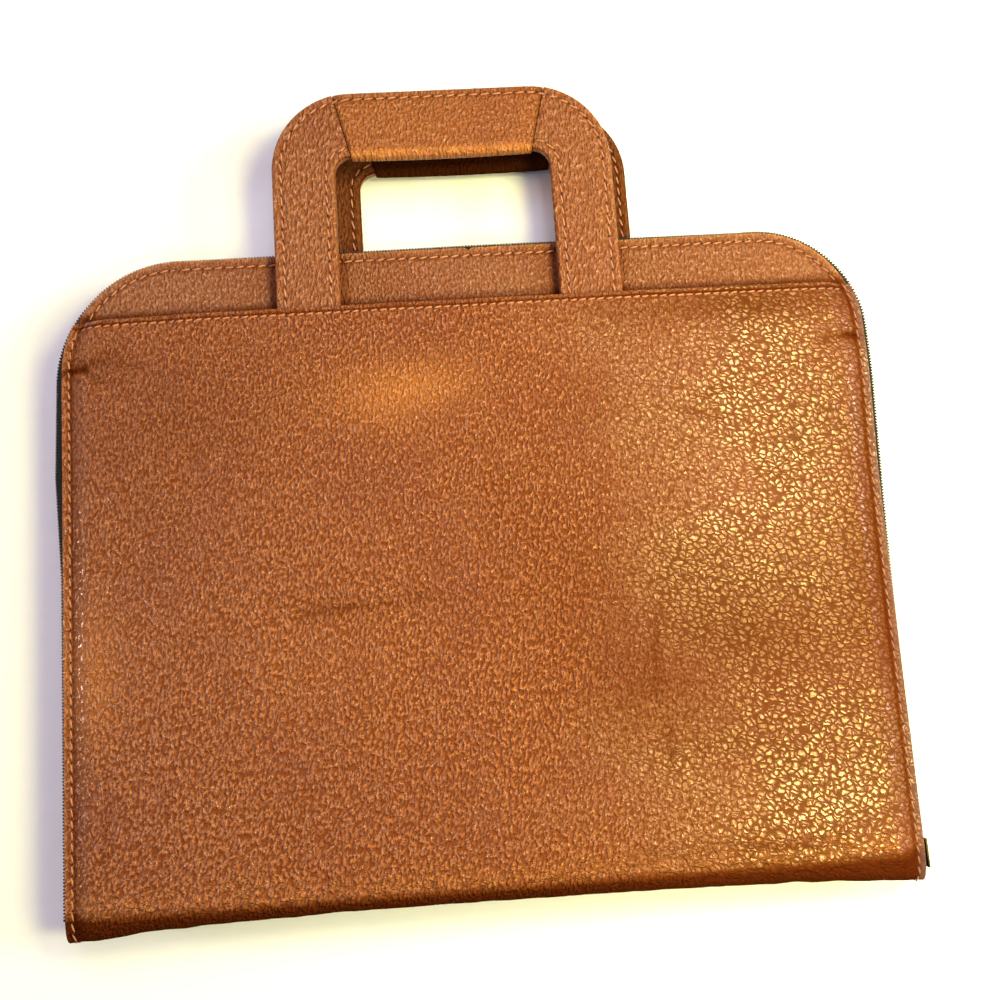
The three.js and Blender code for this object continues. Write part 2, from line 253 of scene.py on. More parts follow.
# Drum-dyed cowhide, tumbled and embossed with a pebble grain, then sprayed with a semi-gloss lacquer:
# flat glossy pebbles that glint one by one, dark matt furrows, rubbed pale on folds, painted shade (dark and matt) in
# seams, folds and spine, painted highlights and a painted pinkish sheen
def pebbledHide(name, look):
    material, add, feed = newMaterial(name, look["gloss"], IOR=1.5)
    flat = add("Attribute", out="Vector", attribute_name="flat")
    bent = shaken(add, flat, look["driftSize"], 3, look["drift"])
    # the net of ridges stands upright near the mouth and leans over more and more towards the spine
    across = add("SeparateXYZ", {0: bent}, "X")
    along = across.node.outputs["Y"]
    below = add("Math", {0: along, 1: -look["uprightAt"] * mm})
    square = add("Math", {0: below, 1: below}, operation="MULTIPLY")
    slide = add("Math", {0: square, 1: look["leanMore"], 2: across}, operation="MULTIPLY_ADD")
    leant = add("CombineXYZ", {0: slide, 1: along})
    # fine bumps in wavy rows on one side of the bag
    pulled = add("Mapping", {"Vector": leant, "Scale": (1, look["ridgePull"], 1)}, vector_type="TEXTURE")
    rows = add("TexNoise", {"Vector": pulled, "Scale": perMm(look["ridge"]), "Detail": 1.5}, noise_dimensions="2D")
    bumpCell = add("TexVoronoi", {"Vector": pulled, "Scale": perMm(look["pit"])}, "Distance",
                   voronoi_dimensions="2D")
    inCell = add("Math", {0: look["cellMiddle"], 1: bumpCell}, operation="SUBTRACT")
    coarse = add("MapRange", {"Value": below, "From Min": 0, "From Max": -look["uprightAt"] * mm,
                              "To Min": look["cellsHigh"], "To Max": look["cellsLow"]})
    mixed = add("Math", {0: inCell, 1: coarse, 2: rows}, operation="MULTIPLY_ADD")
    ridges = add("MapRange", {"Value": mixed, "From Min": 0.5 - look["spread"], "From Max": 0.5 + look["spread"]},
                 interpolation_type="SMOOTHSTEP")
    # flat separate pebbles on the other side
    uneven = shaken(add, bent, look["jitterSize"], 1, look["jitter"])
    pressed = add("Mapping", {"Vector": uneven, "Rotation": (0, 0, math.radians(look["lean"])),
                              "Scale": (look["pull"], 1, 1)}, vector_type="TEXTURE")
    pebbleScale = perMm(look["pebble"])
    gap = add("TexVoronoi", {"Vector": pressed, "Scale": pebbleScale}, "Distance", feature="DISTANCE_TO_EDGE",
              voronoi_dimensions="2D")
    cell = add("TexVoronoi", {"Vector": pressed, "Scale": pebbleScale}, "Distance", voronoi_dimensions="2D")
    cellColour = cell.node.outputs["Color"]
    valley = add("MapRange", {"Value": gap, "From Max": look["valley"]}, interpolation_type="SMOOTHSTEP")
    dome = add("MapRange", {"Value": cell, "From Min": look["domeTop"], "From Max": look["domeFoot"], "To Min": 1,
                            "To Max": 0}, interpolation_type="SMOOTHSTEP")
    pebbles = add("Math", {0: valley, 1: dome}, operation="MULTIPLY")
    area = add("TexNoise", {"Vector": flat, "Scale": perMm(look["areaSize"]), "Detail": 5}, noise_dimensions="2D")
    sided = add("Math", {0: across, 1: look["sided"], 2: area}, operation="MULTIPLY_ADD")
    where = add("MapRange", {"Value": sided, "From Min": look["pebblesFrom"] - look["blend"],
                             "From Max": look["pebblesFrom"] + look["blend"]})
    top = add("Mix", {0: where, 2: ridges, 3: pebbles})
    # every pebble leans its own way, so only some of them catch a light
    fromMiddle = add("VectorMath", {0: pressed, 1: cell.node.outputs["Position"]}, operation="SUBTRACT")
    leaning = add("VectorMath", {0: cellColour, 1: (0.5, 0.5, 0.5)}, operation="SUBTRACT")
    tilt = add("VectorMath", {0: fromMiddle, 1: leaning}, "Value", operation="DOT_PRODUCT")
    tiltHere = add("Math", {0: tilt, 1: where}, operation="MULTIPLY")
    # fine raised wrinkles where the hide is bent
    lying = add("Mapping", {"Vector": bent, "Scale": (1, look["wrinkleFlat"], 1)})
    waving = add("TexNoise", {"Vector": lying, "Scale": perMm(look["wrinkle"]), "Detail": 3}, noise_dimensions="2D")
    fromMid = add("Math", {0: waving, 1: 0.5}, operation="SUBTRACT")
    away = add("Math", {0: fromMid}, operation="ABSOLUTE")
    line = add("MapRange", {"Value": away, "From Max": look["wrinkleLine"], "To Min": 1, "To Max": 0},
               interpolation_type="SMOOTHSTEP")
    bentHere = add("Attribute", out="Fac", attribute_name="wrinkle")
    wrinkle = add("Math", {0: line, 1: bentHere}, operation="MULTIPLY")
    lowPebbles = add("Math", {0: pebbles, 1: look["pebbleHeight"]}, operation="MULTIPLY")
    relief = add("Mix", {0: where, 2: ridges, 3: lowPebbles})
    raised = add("Math", {0: wrinkle, 1: relief})
    tilted = add("Math", {0: tiltHere, 1: pebbleScale * look["tilt"], 2: raised}, operation="MULTIPLY_ADD")
    pores = add("TexNoise", {"Vector": flat, "Scale": perMm(look["pore"]), "Detail": 2}, noise_dimensions="2D")
    height = add("Math", {0: pores, 1: look["poreDepth"], 2: tilted}, operation="MULTIPLY_ADD")
    feed("Normal", add("Bump", {"Height": height, "Strength": 1, "Distance": look["relief"] * mm}))
    # dye: tops and furrows, then clouds, rubbed places and painted highlights, painted shade and a painted pinkish
    # sheen over them
    chance = add("SeparateColor", {0: cellColour})
    pebbleDye = add("Mix", {0: chance, 6: paint(look["dark"]), 7: paint(look["mid"])}, 2, data_type="RGBA")
    topDye = add("Mix", {0: where, 6: paint(look["ridgeTop"]), 7: pebbleDye}, 2, data_type="RGBA")
    lowDye = add("Mix", {0: where, 6: paint(look["furrow"]), 7: paint(look["valleyDye"])}, 2, data_type="RGBA")
    dye = add("Mix", {0: top, 6: lowDye, 7: topDye}, 2, data_type="RGBA")
    cloud = add("TexNoise", {"Vector": flat, "Scale": perMm(look["cloudSize"]), "Detail": 4}, noise_dimensions="2D")
    clouds = add("MapRange", {"Value": cloud, "From Min": look["cloudFrom"], "From Max": look["cloudTo"],
                              "To Max": look["clouds"]})
    wearAndHighlight, shade, paintedSheen = (add("Attribute", out="Fac", attribute_name=key) for key in ("wearAndHighlight", "shade", "paintedSheen"))
    wornAndHighlit = add("Math", {0: wrinkle, 1: look["wrinkleWear"], 2: wearAndHighlight}, operation="MULTIPLY_ADD")
    for key, share in (("russet", clouds), ("rubbedAndHighlit", wornAndHighlit), ("paintedShade", shade), ("paintedSheen", paintedSheen)):
        dye = add("Mix", {0: share, 6: dye, 7: paint(look[key])}, 2, data_type="RGBA")
    feed("Base Color", dye)
    feed("Roughness", add("MapRange", {"Value": top, "To Min": look["dull"], "To Max": look["gloss"]}))
    polish = add("MapRange", {"Value": where, "To Min": look["ridgeShine"], "To Max": look["pebbleShine"]})
    shine = add("MapRange", {"Value": top, "To Min": look["furrowShine"], "To Max": polish})
    # painted shade also takes the mirror sheen away, so shaded places stay dark at grazing angles
    shineOutsideShade = add("MapRange", {"Value": shade, "From Max": look["shineGoneInShade"], "To Min": 1, "To Max": 0})
    feed("Specular IOR Level", add("Math", {0: shine, 1: shineOutsideShade}, operation="MULTIPLY"))
    return material


# a finish in two mottled tones, with a bump or a change of roughness in the same pattern where it has one
def mottled(name, roughness, tones, size, detail, bump=None, rough=None, **sockets):
    material, add, feed = newMaterial(name, roughness, **sockets)
    coords = add("TexCoord", out="Object")
    spots = add("TexNoise", {"Vector": coords, "Scale": perMm(size), "Detail": detail})
    feed("Base Color", add("Mix", {0: spots, 6: paint(tones[0]), 7: paint(tones[1])}, 2, data_type="RGBA"))
    if bump:
        feed("Normal", add("Bump", {"Height": spots, "Strength": bump[0], "Distance": bump[1] * mm}))
    if rough:
        feed("Roughness", add("MapRange", {"Value": spots, "To Min": rough[0], "To Max": rough[1]}))
    return material


# Waxed polyester sewing thread: pinkish tan, twisted, a soft sheen, darker towards the right side
def waxedThread(name):
    material, add, feed = newMaterial(name, 0.5, Sheen_Weight=0.15)
    coords = add("TexCoord", out="Object")
    ply = add("TexWave", {"Vector": coords, "Scale": perMm(0.5) / (2 * math.pi), "Distortion": 1.5}, "Fac",
              bands_direction="DIAGONAL")
    tone = add("TexNoise", {"Vector": coords, "Scale": perMm(7), "Detail": 1})
    clean = add("Mix", {0: tone, 6: paint("#945638"), 7: paint("#BC8064")}, 2, data_type="RGBA")
    across = add("SeparateXYZ", {0: coords})
    darkerRight = add("MapRange", {"Value": across, "From Min": 140 * mm, "From Max": 170 * mm, "To Max": 0.65})
    feed("Base Color", add("Mix", {0: darkerRight, 6: clean, 7: paint("#74422A")}, 2, data_type="RGBA"))
    feed("Normal", add("Bump", {"Height": ply, "Strength": 0.35, "Distance": 0.1 * mm}))
    return material


# Zip tape, plain-woven black polyester: matt ribs of half a millimetre across the tape
def wovenTape(name):
    material, add, feed = newMaterial(name, 0.85, Sheen_Weight=0.02, Specular_IOR_Level=0.2)
    coords = add("TexCoord", out="Object")
    warp, weft = (add("TexWave", {"Vector": coords, "Scale": perMm(0.55) / (2 * math.pi)}, "Fac", bands_direction=way)
                  for way in ("X", "Y"))
    weave = add("Math", {0: warp, 1: weft}, operation="MULTIPLY")
    feed("Base Color", add("Mix", {0: weave, 6: paint("#0C0B0C"), 7: paint("#201D1F")}, 2, data_type="RGBA"))
    feed("Normal", add("Bump", {"Height": weave, "Strength": 0.6, "Distance": 0.15 * mm}))
    return material


# sizes are in millimetres
panelLook = {
    # wavy rows of fine ridges with cells in them, and their lean
    "ridge": 1.08, "ridgePull": 1.7, "pit": 1.6, "cellsHigh": 0.3, "cellsLow": 0.6, "cellMiddle": 0.45,
    "spread": 0.27, "uprightAt": 220, "leanMore": 0.7,
    # separate pebbles, and where they take over from the ridges
    "pebble": 2, "valley": 0.28, "domeTop": 0.26, "domeFoot": 0.76, "pebbleHeight": 0.2, "pull": 1.6, "lean": -27,
    "jitterSize": 2.6, "jitter": 2.6, "tilt": 0.3, "sided": 6, "pebblesFrom": 0.85, "blend": 0.3, "areaSize": 60,
    # pores, drift of the whole grain, height of all of it, wrinkles where the hide is bent
    "pore": 0.5, "poreDepth": 0.06, "driftSize": 10, "drift": 2.2, "relief": 1.1,
    "wrinkle": 16, "wrinkleFlat": 2.6, "wrinkleLine": 0.035, "wrinkleWear": 0.35,
    # roughness of tops and furrows, mirror strength, and the painted shade at which the mirror sheen is gone
    "gloss": 0.2, "dull": 0.6, "ridgeShine": 0.6, "pebbleShine": 0.95, "furrowShine": 0.12, "shineGoneInShade": 0.6,
    # clouds in the dye
    "cloudSize": 48, "clouds": 0.4, "cloudFrom": 0.42, "cloudTo": 0.72,
    "dark": "#7C451A", "mid": "#885426", "furrow": "#68310C", "valleyDye": "#5A320F", "ridgeTop": "#935529",
    # colours for rubbed places and painted highlights, for painted shade, and for the painted pinkish sheen
    "russet": "#70361E", "rubbedAndHighlit": "#D08840", "paintedShade": "#451B09", "paintedSheen": "#705356",
}
coverLook = dict(panelLook, pebblesFrom=1.7, relief=0.85, spread=0.32, furrow="#6D3D1C", ridgeTop="#8A573A")
# handles and grips take a darker painted shade colour, deepest on the rear ones, painted as if in the front handle's
# shadow
handleLook = dict(panelLook, ridgePull=2.2, ridge=1.2, uprightAt=300, pebblesFrom=1.3, areaSize=30, relief=1,
                  spread=0.32, furrow="#703D1C", paintedShade="#2C1006", ridgeTop="#8D5837")
gripLook = dict(panelLook, leanMore=0, pebblesFrom=1.3, areaSize=40, relief=0.9, spread=0.32, furrow="#7B421A",
                ridgeTop="#92592B", paintedShade="#2C1006")

hidePanel = pebbledHide("tumbledCowhide", panelLook)
hideCover = pebbledHide("coverCowhide", coverLook)
hideHandle = pebbledHide("handleCowhide", handleLook)
hideGrip = pebbledHide("gripCowhide", gripLook)
# Suede flesh side of the hide: matt, short nap, no grain
suede = mottled("suedeFleshSide", 0.95, ("#5E3A22", "#8C5F3C"), 0.6, 4, bump=(0.5, 0.15), Sheen_Weight=0.2)
# Cut edge of the hide, sealed with brown edge paint: darker than the face, slightly uneven, low gloss
edge = mottled("brownEdgePaint", 0.5, ("#5A2A10", "#8F4E24"), 1.6, 3, bump=(0.4, 0.1))
threadPeach = waxedThread("waxedPolyesterThread")
# Needle hole: the punched rim turns down into shadow, almost black-brown and matt
holeDark = mottled("needleHoleShadow", 0.9, ("#1C0A04", "#361608"), 0.4, 2)
tapeBlack = wovenTape("wovenPolyesterTape")
# Nylon zip coil, extruded and heat-set: smooth dark teeth with a plastic glint
coilBlack = mottled("nylonZipCoil", 0.38, ("#121011", "#2A2625"), 3, 3, IOR=1.53)
# Die-cast zinc with a black nickel plate: very dark warm mirror, scuffed unevenly
nickel = mottled("darkNickelPlate", 0.3, ("#262321", "#45403C"), 1.2, 5, rough=(0.22, 0.45), Metallic=1.0)
# Seamless studio paper: pale, matt, faint fibre
paper = mottled("studioPaper", 0.9, ("#DDE8FF", "#E6EFFF"), 8, 3)
print("materials ready")


# outer hide: one piece from the front pocket mouth, down, round the spine and up the back

wrap = {
    "seamLevel": coverHigh.z / mm + 2.3,  # outer face of the sewn side margins
    "seamMargin": 4.4,
    "rises": ((10, 0.6), (75, 0.4)),  # steep, then gentle: width from the seam, share of the depth
    "spineX": (-178, -161, -144, -118, -67, -20, 53, 121, 150, 178),
    "spineBulge": (14, 13, 11.2, 10.4, 9.5, 9.8, 10.7, 12.3, 14, 16.4),
    "spineSquareness": 2.6,
    "spineRun": 40,  # length of hide round the spine
    "spineRound": (12, 13),  # its half width and half height there
    "sideSeam": {"inset": 3.1, "groove": 0.5, "width": 0.9, "roll": 0.9, "stitchTurn": 24},
    "mouthSeam": {"inset": 3.2, "groove": 0.4, "width": 0.9, "roll": 1.0, "stitchEnds": 8.5},
    "lip": (0, 0.15, 0.5, 1, 1.7, 2.4, 3.1, 3.8, 4.6, 5.6, 7, 8.5, 10),  # rows of the mesh below the mouth
    # height, size across, size along
    "sidePucker": (0.5, 13, 3),
    "mouthPucker": (0.25, 3.4, 9),
    "waves": (0.4, 42, 30),
    "smallWaves": (0.16, 15, 17),
    "creaseWrinkles": (0.5, 8, 3),
    "spineWrinkles": (0.5, 9, 4),
    "patchyWear": (0.65, 5, 2.4),
    # x, y, reach across, reach along, rise
    "swellings": (
        (-170, 228, 16, 7, -1.6), (132, 243, 44, 10, -1.2), (168, 222, 14, 10, -1.2), (-33, 212, 34, 26, 0.9),
        (128, 168, 30, 14, -0.7), (128, 198, 34, 16, 0.8), (110, 134, 42, 15, 1), (128, 104, 34, 14, -0.8),
        (124, 20, 38, 22, 1.1), (-58, 114, 40, 9, -0.6), (-136, 94, 18, 18, -0.8), (-165, 48, 14, 22, -1),
    ),
    # the same, for pale patches (the two near the middle top are a painted highlight of a warm glow), for patches that
    # darken the front and cut its gloss, and for fine wrinkles
    "palePatchesAndGlow": ((-167, 95, 14, 28, 0.25), (-38, 204, 24, 13, 0.22), (-16, 210, 20, 11, 0.18), (-72, 88, 34, 22, 0.05)),
    "dark": (
        (56, 115, 34, 47, 0.2), (-122, 202, 39, 27, 0.16), (52, 197, 18, 18, 0.13), (85, 4, 35, 5, 0.2),
        (93, 95, 40, 16, 0.13), (69, 72, 25, 15, 0.15), (166, 128, 12, 50, 0.25), (122, 238, 60, 8, 0.42),
        (130, 84, 50, 34, 0.32), (97, 48, 38, 16, 0.16), (12, 158, 22, 22, 0.08), (25, 125, 30, 60, 0.05),
        (45, 58, 22, 24, 0.08), (-146, 165, 22, 26, 0.09),
    ),
    "bends": ((-164, 226, 20, 11, 0.9), (168, 221, 12, 7, 0.7), (-58, 114, 34, 5, 0.35)),
    # painted shade lines in and beside the side seams' grooves and under the mouth: distance in from the edge, width,
    # amount
    "leftShadeLines": ((4.4, 0.9, 0.55), (6.5, 3, 0.05)),
    "rightShadeLines": ((4.4, 1.3, 0.55), (7, 4, 0.225), (1, 1.6, 0.3)),
    "mouthGrooveShade": ((2.3, 0.6, 0.825),),
    # painted shade in the folds' creases and on the spine, which faces away from the lamps
    "foldShade": 0.85,
    "spineShade": (0.4, 4.4, 0.95),  # starts below the crease, deepens over, amount
    "creaseWear": 0.2,
    "edgeWear": (0.25, 0.05),  # left, right
    # a painted pinkish sheen on the strip outside the right seam
    "paintedSheenStrip": (3.6, 1.5, 0.5),  # width at the right edge, soft border, amount
    # from x, y to x, y, width, depth: creases pressed into the front
    "folds": (
        (-178, 224.5, -166, 225, 1.5, 1.4), (-169, 225.5, -148, 233, 1.3, 0.45), (-169, 224, -150, 216, 1.3, 0.4),
        (-168, 225, -146, 226, 1.3, 0.4), (-174, 227.5, -158, 228.5, 1.2, 0.25), (178, 221.6, 166, 221.5, 1.6, 1),
        (168, 221.5, 152, 217, 1.8, 0.5), (-80, 114.6, -40, 114.8, 2.6, 0.3), (-42, 114.8, -18, 116.5, 2.4, 0.25),
        (-78, 111, -52, 112.2, 2.4, 0.25), (-26, 60, 13, 94, 1.8, -0.3), (71.6, 106, 69, 68.6, 1.6, 0.3),
        (73, 60, 72.4, 37, 1.6, 0.3), (88, 191.5, 112, 184.5, 1.6, 0.4), (97, 195, 110, 199, 1.6, 0.3),
        (-159, 43, -161, 13, 1.4, 0.35), (-52.5, 76, -52, 44, 1.4, -0.25), (100, 5, 136, 3, 1.4, 0.5),
    ),
}


def sideInset(x, y):  # distance in from the side edge and its round corner
    corner = cornerAt(x)
    inset = bag["half"] - np.abs(x)
    intoX = np.maximum(corner - inset, 0)
    intoY = np.maximum(y - bag["top"] + corner, 0)
    return np.where((intoX > 0) & (intoY > 0), corner - np.hypot(intoX, intoY), inset)


def cornerTop(x):  # height of the covers' edge, with its round corners
    corner = cornerAt(x)
    intoCorner = np.clip(corner - bag["half"] + np.abs(x), 0, corner)
    return bag["top"] - corner + np.sqrt(corner ** 2 - intoCorner ** 2)


def sewn(inset, seam):  # how far a sewn edge is pressed in: round edge, then the groove of the stitches
    over = np.clip(1 - inset / seam["roll"], 0, 1)
    groove = seam["groove"] * bell(inset - seam["inset"], seam["width"])
    return seam["roll"] * (1 - np.sqrt(1 - over ** 2)) + groove


def pocketShare(inset):
    past = np.maximum(inset - wrap["seamMargin"], 0)
    return sum(part * (1 - (1 - np.minimum(past / width, 1)) ** 2) for width, part in wrap["rises"])


def foldDepth(x, y):
    total = np.zeros_like(x)
    for x0, y0, x1, y1, width, depth in wrap["folds"]:
        length = math.hypot(x1 - x0, y1 - y0)
        along = ((x - x0) * (x1 - x0) + (y - y0) * (y1 - y0)) / length ** 2
        held = np.clip(along, 0, 1)
        away = np.hypot(x - x0 - held * (x1 - x0), y - y0 - held * (y1 - y0))
        fade = np.sin(np.pi * np.clip(0.15 + 0.7 * along, 0, 1))  # shallower towards both ends
        total = total + depth * bell(away, width) * fade
    return total


def frontZ(x, y):
    inset = sideInset(x, y)
    share = pocketShare(inset)
    fromMouth = bag["mouth"] - y
    past = np.maximum(inset - wrap["seamMargin"], 0)
    z = wrap["seamLevel"] + (bag["depth"] - wrap["seamLevel"]) * share
    z = z + share * patches(x, y, wrap["swellings"])
    # puckers die away within 6 mm of a seam, wrinkles within 8 mm of the crease
    z = z + ripple(x, y, wrap["sidePucker"], 1) * np.minimum(past / 2, 1) * np.exp(-past / 6)
    z = z + ripple(x, y, wrap["mouthPucker"], 2) * np.exp(-np.maximum(fromMouth - 3, 0) / 6)
    z = z + share * (ripple(x, y, wrap["waves"], 3) + ripple(x, y, wrap["smallWaves"], 4))
    z = z + share * ripple(x, y, wrap["creaseWrinkles"], 5) * bell(y, 8)
    z = z - np.minimum(share + 0.4, 1) * foldDepth(x, y)
    return z - sewn(inset, wrap["sideSeam"]) - sewn(fromMouth, wrap["mouthSeam"])


def backZ(x, y):
    inset = sideInset(x, y)
    z = (bag["depth"] - wrap["seamLevel"]) * (1 - pocketShare(inset))
    return z + sewn(inset, wrap["sideSeam"]) + sewn(bag["mouth"] - y, wrap["mouthSeam"])


def wrapPlaces(x, run):  # run is 0 to 1 down the front, 1 to 2 round the spine, 2 to 3 up the back
    inset = bag["half"] - np.abs(x)
    topY = np.minimum(bag["mouth"], cornerTop(x))
    zero = np.zeros_like(x)
    angle = np.pi * np.clip(run - 1, 0, 1)
    power = 2 / wrap["spineSquareness"]
    up = np.sign(np.cos(angle)) * np.abs(np.cos(angle)) ** power
    creaseZ = np.where(up > 0, frontZ(x, zero), backZ(x, zero))
    bulge = np.interp(x, wrap["spineX"], wrap["spineBulge"])
    wrinkle = ripple(x, run * 60, wrap["spineWrinkles"], 6) * np.sin(angle) * np.minimum(inset / 12, 1)
    spineY = -(bulge + wrinkle) * np.sin(angle) ** power
    y = np.where(run < 1, topY * (1 - run), np.where(run > 2, topY * (run - 2), spineY))
    onFace = np.where(run < 1, frontZ(x, y), backZ(x, y))
    z = np.where((run >= 1) & (run <= 2), midZ + (creaseZ - midZ) * np.abs(up), onFace)
    return y, z


def wrapStations():  # columns across and rows round the hide, close together at the seams
    edgeSteps = [5.3 * (i / 10) ** 2 for i in range(11)] + [6.3 + i for i in range(13)]
    left = np.array(edgeSteps) - bag["half"]
    middle = np.linspace(left[-1], -left[-1], 157)
    columns = np.concatenate([left[:-1], middle, -left[-2::-1]])
    lip = np.array(wrap["lip"]) / bag["mouth"]
    front = np.concatenate([lip, np.linspace(lip[-1], 1, 119)[1:]])
    spine = np.linspace(1, 2, 27)[1:]
    back = np.concatenate([np.linspace(2, 3 - lip[-1], 27)[1:], 3 - lip[-2::-1]])
    return columns, np.concatenate([front, spine, back])


def makeWrap():
    columns, runs = wrapStations()
    obj, column, row = newSheet("outerHide", len(columns), len(runs))
    x = columns[column]
    moveTo(obj, x, *wrapPlaces(x, runs[row]))
    giveMaterials(obj, hidePanel, suede, edge)
    facesUp(obj, True)
    thicken(obj, bag["leather"], -1, inside=1, rim=2)
    smooth(obj)
    x, y, z = places(obj)
    inset = sideInset(x, y)
    right = x > 0
    front = z > midZ
    onFront = np.where(front & (y > -2), 1, 0)
    start, over, amount = wrap["spineShade"]
    # painted shade: the seams' grooves, the right roll and edge strip, the groove under the mouth, darkened patches,
    # the folds' creases and the spine
    shade = np.where(right, lines(inset, wrap["rightShadeLines"]), lines(inset, wrap["leftShadeLines"]))
    shade = shade + onFront * (lines(bag["mouth"] - y, wrap["mouthGrooveShade"]) + patches(x, y, wrap["dark"]))
    shade = shade + onFront * np.clip(foldDepth(x, y), 0, 1) * wrap["foldShade"]
    note(obj, "shade", shade + np.clip((-start - y) / over, 0, 1) * amount)
    crease = onFront * bell(y - 1, 4.5) + np.where(front & (y <= -2), bell(y, 3.5), 0)
    wearAndHighlight = wrap["creaseWear"] * crease * np.clip(0.35 + ripple(x, y, wrap["patchyWear"], 7), 0, 1)
    edgeLeft, edgeRight = wrap["edgeWear"]
    wearAndHighlight = wearAndHighlight + np.where(right, edgeRight, edgeLeft) * bell(inset, 1.2)
    # pale patches on the front, two of them a painted highlight of a warm glow
    note(obj, "wearAndHighlight", wearAndHighlight + onFront * patches(x, y, wrap["palePatchesAndGlow"]))
    bend = 0.75 * np.where(front, bell(y - 1, np.where(y > 1, 7, 9)), 0) * np.clip((inset - 5) / 6, 0, 1)
    note(obj, "wrinkle", bend + onFront * patches(x, y, wrap["bends"]))
    # painted pinkish sheen on the strip outside the right seam
    width, border, amount = wrap["paintedSheenStrip"]
    note(obj, "paintedSheen", amount * np.where(front & right, np.clip((width - inset) / border, 0, 1), 0))
    halfWide, halfHigh = wrap["spineRound"]
    roundSpine = np.arctan2(np.maximum(-y, 0) / halfWide, (z - midZ) / halfHigh) / math.pi * wrap["spineRun"]
    layFlat(obj, x, np.where(y < 0, -roundSpine, np.where(front, y, -wrap["spineRun"] - y)))
    settle(obj, "bag", "outer_wrap")


makeWrap()
print("outer hide done")


# stitches: one thread shape and one needle hole, copied along each seam

thread = {
    "length": 3.6, "width": 0.85, "height": 0.7, "slant": 11, "slantJitter": 3, "lengthJitter": 0.04, "sink": 0.04,
    "hole": 1.15, "holeDepth": 0.3, "holeSink": 0.02,
    "pitch": 4.5, "mouthPitch": 4, "coverPitch": 4.8, "handlePitch": 5.3,
}


def ballShape(rings, scale, axis=None):  # vertices and faces of a small ball, whose object is then removed
    selectNothing()
    bpy.ops.mesh.primitive_uv_sphere_add(segments=6, ring_count=rings, radius=0.5)
    if axis:
        editMode(True)
        bpy.ops.transform.rotate(value=math.pi / 2, orient_axis=axis, center_override=(0, 0, 0))
        editMode(False)
    obj = bpy.context.active_object
    co = vertexRows(obj) * np.array(scale)
    faces = [list(face.vertices) for face in obj.data.polygons]
    bpy.ops.object.delete()
    return co, faces


threadShape = ballShape(6, (thread["length"], thread["width"], thread["height"]), "Y")
holeShape = ballShape(3, (thread["hole"], thread["hole"], thread["holeDepth"]))


def copies(name, parts, materials):  # parts: shape, centres, three axes, material number; all in one mesh
    verts = []
    faces = []
    numbers = []
    start = 0
    for (co, shapeFaces), centre, axisX, axisY, axisZ, number in parts:
        axes = np.stack([axisX, axisY, axisZ], axis=1)
        verts.append((centre[:, None] + np.einsum("vi,nij->nvj", co, axes)).reshape(-1, 3))
        for first in range(start, start + len(centre) * len(co), len(co)):
            faces.extend([[first + i for i in face] for face in shapeFaces])
        numbers.extend([number] * (len(centre) * len(shapeFaces)))
        start += len(centre) * len(co)
    mesh = bpy.data.meshes.new(name)
    mesh.from_pydata(toFrame(*np.concatenate(verts).T).tolist(), [], faces)
    obj = bpy.data.objects.new(name, mesh)
    giveMaterials(obj, *materials)
    mesh.polygons.foreach_set("material_index", numbers)
    bpy.context.scene.collection.objects.link(obj)
    smooth(obj, 80)
    return obj


def unit(vectors):
    return vectors / np.linalg.norm(vectors, axis=-1, keepdims=True)


def spaced(points, pitch, near=0.4):  # points at even steps along a line, with the way it runs
    steps = np.linalg.norm(np.diff(points, axis=0), axis=1)
    along = np.concatenate([[0], np.cumsum(steps)])
    count = max(int(round(along[-1] / pitch)), 1)
    at = (np.arange(count) + 0.5) * along[-1] / count
    behind, centre, ahead = (stack(*(np.interp(at + shift, along, column) for column in points.T))
                             for shift in (-near, 0, near))
    return centre, unit(ahead - behind)


def sew(name, seams, body, pitch=thread["pitch"]):  # seams: points and the way the surface faces there
    dice = np.random.default_rng(len(name))
    parts = []
    for points, facing in seams:
        centre, along = spaced(points, pitch)
        out = facing(along) if callable(facing) else np.tile(np.array(facing, float), (len(centre), 1))
        out = unit(out - along * np.sum(out * along, axis=1)[:, None])
        side = np.cross(out, along)
        slant = np.radians(thread["slant"] + dice.normal(0, thread["slantJitter"], len(centre)))[:, None]
        lengths = (pitch / thread["pitch"]) * (1 + dice.normal(0, thread["lengthJitter"], len(centre)))[:, None]
        axisX = (along * np.cos(slant) + side * np.sin(slant)) * lengths
        axisY = unit(np.cross(out, axisX))
        parts.append((threadShape, centre + out * thread["sink"], axisX, axisY, out, 0))
        parts.append((holeShape, centre + along * pitch / 2 + out * thread["holeSink"], along, side, out, 1))
    obj = copies(name, parts, (threadPeach, holeDark))
    settle(obj, body)


def sewWrap():
    seams = []
    inset = wrap["sideSeam"]["inset"]
    stitchX = bag["half"] - inset
    startTurn = math.radians(wrap["sideSeam"]["stitchTurn"])
    for side in (-1, 1):
        corner = cornerAt(side)
        middle = (bag["half"] - corner, bag["top"] - corner)
        arc = onArc(middle, corner - inset, np.linspace(startTurn, 0, 12))
        x = np.concatenate([arc[:, 0], np.full(60, stitchX)]) * side
        y = np.concatenate([arc[:, 1], np.linspace(middle[1], 0, 61)[1:]])
        runs = np.linspace(1, 2, 30)[1:]
        spineX = np.full(len(runs), stitchX * side)
        front = stack(x, y, frontZ(x, y))
        spine = stack(spineX, *wrapPlaces(spineX, runs))
        back = stack(x, y, backZ(x, y))[::-1]
        seams.append((np.concatenate([front, spine, back]), lambda along: np.cross(along, (1.0, 0.0, 0.0))))
    sew("sideStitches", seams, "bag")
    end = bag["half"] - wrap["mouthSeam"]["stitchEnds"]
    x = np.linspace(-end, end, 160)
    y = np.full_like(x, bag["mouth"] - wrap["mouthSeam"]["inset"])
    mouths = [(stack(x, y, frontZ(x, y)), (0, 0, 1)), (stack(x, y, backZ(x, y)), (0, 0, -1))]
    sew("mouthStitches", mouths, "bag", thread["mouthPitch"])


sewWrap()
print("wrap sewn")


# cover panels behind the pockets, with round top corners

